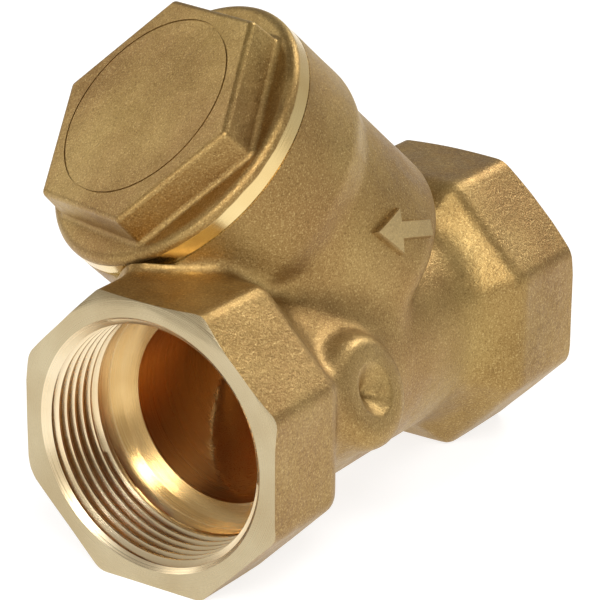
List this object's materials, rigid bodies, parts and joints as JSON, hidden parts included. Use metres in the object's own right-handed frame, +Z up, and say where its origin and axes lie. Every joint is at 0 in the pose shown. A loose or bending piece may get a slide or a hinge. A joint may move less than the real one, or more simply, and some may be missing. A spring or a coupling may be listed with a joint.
{
  "type": "y strainer",
  "caption": "Forged brass Y-pattern pipe strainer: threaded octagon ends, a slanting branch with a screwed hexagon cap, and a perforated screen inside.",
  "frame": {"origin": "centre of the outlet's port face, on the pipe axis", "axes": "+X back along the pipe axis from the outlet to the inlet; +Z up, square to an upper flat of both octagons; the dimpled boss is on the -Y side. Flow runs towards -X."},
  "size_m": [0.104, 0.0751, 0.0955],
  "materials": {
    "forged_brass": "forged and shot blasted, with turned ends and bores",
    "gasket_fibre": "matt",
    "screen_steel": "rolled sheet"
  },
  "bodies": {
    "housing": {"body": "forged_brass"},
    "screen": {"screen": "screen_steel"},
    "cap": {"cap": "forged_brass", "gasket": "gasket_fibre"}
  },
  "joints": [
    {"name": "cap_lift", "type": "slide", "parent": "housing", "child": "screen", "axis": [-0.6428, 0.2932, 0.7077], "range_m": [0, 0.0106]},
    {"name": "cap_turn", "type": "hinge", "parent": "screen", "child": "cap", "pos_m": [0.02908, 0.02149, 0.05188], "axis": [-0.6428, 0.2932, 0.7077], "range_deg": [0, 2544]}
  ],
  "couplings": [
    {"joint": "cap_turn", "follows": "cap_lift", "rad_per_m": 4188.8}
  ]
}
